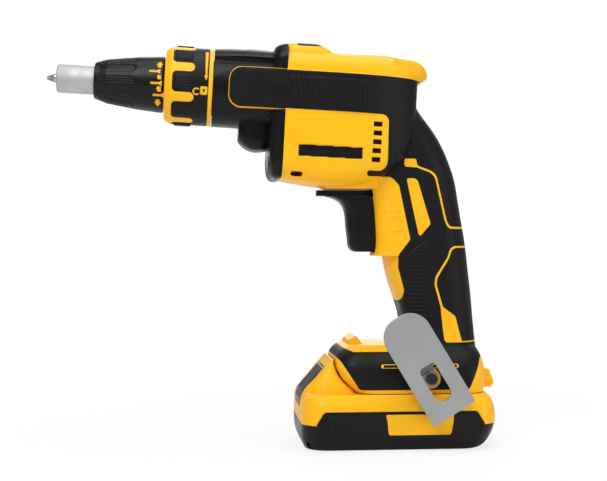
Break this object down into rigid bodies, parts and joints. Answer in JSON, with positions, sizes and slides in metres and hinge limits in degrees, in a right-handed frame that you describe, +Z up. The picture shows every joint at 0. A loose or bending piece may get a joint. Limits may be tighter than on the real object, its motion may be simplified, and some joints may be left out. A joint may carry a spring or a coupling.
{
  "type": "drywall screwdriver",
  "caption": "Pistol-grip cordless drywall screwdriver with a depth-set nose, press-in clutch drive, trigger, belt hook and slide-on battery pack.",
  "frame": {"origin": "on the battery pack's base and the tool's mid-plane, 56.3 mm behind the pack's front end", "axes": "the nose points to -X, the belt hook is on the -Y side, +Z is up"},
  "size_m": [0.2514, 0.0853, 0.2245],
  "materials": {
    "yellow_plastic": "moulded yellow nylon with a light satin grain",
    "black_plastic": "moulded black nylon, satin",
    "black_rubber": "soft black over-moulding, matt",
    "blasted_aluminium": "bead-blasted",
    "black_metal": "black satin coat on cast alloy",
    "hardened_steel": "ground and hardened",
    "hook_steel": "zinc-plated sheet, matt",
    "black_screw_steel": "black oxide",
    "spring_steel": "drawn wire",
    "sintered_bronze": "sintered bronze",
    "insert_brass": "turned brass",
    "magnet_nickel": "nickel plate",
    "lamination_steel": "stacked laminations, lacquered",
    "copper_winding": "enamelled copper wire",
    "circuit_board": "potted board",
    "cell_wrap": "shrink sleeve on steel cells",
    "contact_copper": "tinned copper",
    "lead_insulation": "wire insulation"
  },
  "bodies": {
    "tool": {"back_pad_lower_left": "black_rubber", "back_pad_lower_right": "black_rubber", "back_pad_upper_left": "black_rubber", "back_pad_upper_right": "black_rubber", "bearing_plate": "blasted_aluminium", "belt_hook": "hook_steel", "control_module": "circuit_board", "front_bearing_outer_race": "hardened_steel", "gear_case": "black_metal", "gear_case_screws": "black_screw_steel", "grip_rubber_left": "black_rubber", "grip_rubber_right": "black_rubber", "hook_insert_left": "insert_brass", "hook_insert_right": "insert_brass", "hook_screw": "black_screw_steel", "housing_left": "yellow_plastic", "housing_right": "yellow_plastic", "housing_screws": "black_screw_steel", "motor_front_bearing": "hardened_steel", "motor_leads": "lead_insulation", "motor_rear_bearing": "hardened_steel", "name_plate_left": "black_plastic", "name_plate_right": "black_plastic", "spindle_rear_bush": "sintered_bronze", "stator": "lamination_steel", "stator_windings": "copper_winding", "switch_module": "black_plastic", "terminal_blades": "contact_copper", "terminal_block": "black_plastic", "top_pad": "black_rubber", "trigger_spring": "spring_steel"},
    "nose": {"nose_carrier": "black_plastic"},
    "collar": {"lock_collar": "yellow_plastic", "lock_collar_grip": "black_rubber"},
    "cone": {"depth_cone": "black_plastic"},
    "nosepiece": {"depth_nosepiece": "blasted_aluminium"},
    "drive_gear": {"spindle_gear": "hardened_steel", "clutch_spring": "spring_steel", "front_bearing_inner_race": "hardened_steel"},
    "bearing_balls": {"front_bearing_balls": "hardened_steel"},
    "spindle": {"spindle": "hardened_steel", "bit_holder": "hardened_steel", "bit_magnet": "magnet_nickel"},
    "bit": {"screw_bit": "hardened_steel"},
    "motor_rotor": {"rotor": "lamination_steel", "rotor_shaft": "hardened_steel", "drive_pinion": "hardened_steel", "cooling_fan": "black_plastic"},
    "trigger": {"trigger": "black_plastic"},
    "reversing_lever": {"reversing_lever": "black_plastic"},
    "battery": {"battery_case_upper": "yellow_plastic", "battery_case_lower": "black_plastic", "battery_cells": "cell_wrap", "battery_contact_board": "circuit_board", "release_spring": "spring_steel", "battery_label_left": "black_plastic", "battery_label_right": "black_plastic", "battery_screws": "black_screw_steel"},
    "release_button": {"battery_release_button": "black_plastic"}
  },
  "joints": [
    {"name": "nose_pull", "type": "slide", "parent": "tool", "child": "nose", "axis": [-0.9986, 0, 0.0523], "range_m": [0, 0.065]},
    {"name": "collar_turn", "type": "hinge", "parent": "nose", "child": "collar", "pos_m": [-0.11828, 0, 0.20163], "axis": [0.9986, 0, -0.0523], "range_deg": [0, 40]},
    {"name": "depth_turn", "type": "hinge", "parent": "nose", "child": "cone", "pos_m": [-0.14924, 0, 0.20326], "axis": [0.9986, 0, -0.0523], "range_deg": [-280, 280]},
    {"name": "depth_slide", "type": "slide", "parent": "nose", "child": "nosepiece", "axis": [0.9986, 0, -0.0523], "range_m": [-0.003, 0.003]},
    {"name": "gear_spin", "type": "hinge", "parent": "tool", "child": "drive_gear", "pos_m": [-0.07933, 0, 0.19959], "axis": [0.9986, 0, -0.0523], "continuous": true},
    {"name": "ball_orbit", "type": "hinge", "parent": "tool", "child": "bearing_balls", "pos_m": [-0.11029, 0, 0.20121], "axis": [0.9986, 0, -0.0523], "continuous": true},
    {"name": "rotor_spin", "type": "hinge", "parent": "tool", "child": "motor_rotor", "pos_m": [-0.04555, 0, 0.17539], "axis": [0.9986, 0, -0.0523], "continuous": true},
    {"name": "spindle_press", "type": "slide", "parent": "drive_gear", "child": "spindle", "axis": [0.9986, 0, -0.0523], "range_m": [0, 0.003], "stiffness_N_per_m": 4000, "springref_m": -0.002},
    {"name": "bit_pull", "type": "slide", "parent": "spindle", "child": "bit", "axis": [-0.9986, 0, 0.0523], "range_m": [0, 0.03]},
    {"name": "trigger_pull", "type": "slide", "parent": "tool", "child": "trigger", "axis": [1, 0, 0], "range_m": [0, 0.006], "stiffness_N_per_m": 1500, "springref_m": -0.002},
    {"name": "lever_swing", "type": "hinge", "parent": "tool", "child": "reversing_lever", "pos_m": [-0.015, 0, 0.1416], "axis": [0, 0, 1], "range_deg": [-9, 9]},
    {"name": "battery_slide", "type": "slide", "parent": "tool", "child": "battery", "axis": [-1, 0, 0], "range_m": [0, 0.075]},
    {"name": "release_press", "type": "slide", "parent": "battery", "child": "release_button", "axis": [0.7244, 0, -0.6894], "range_m": [0, 0.003], "stiffness_N_per_m": 2000, "springref_m": -0.0015}
  ],
  "couplings": [
    {"joint": "rotor_spin", "follows": "gear_spin", "ratio": -4.6},
    {"joint": "ball_orbit", "follows": "gear_spin", "ratio": 0.41779},
    {"joint": "depth_turn", "follows": "depth_slide", "rad_per_m": 1570.8}
  ]
}
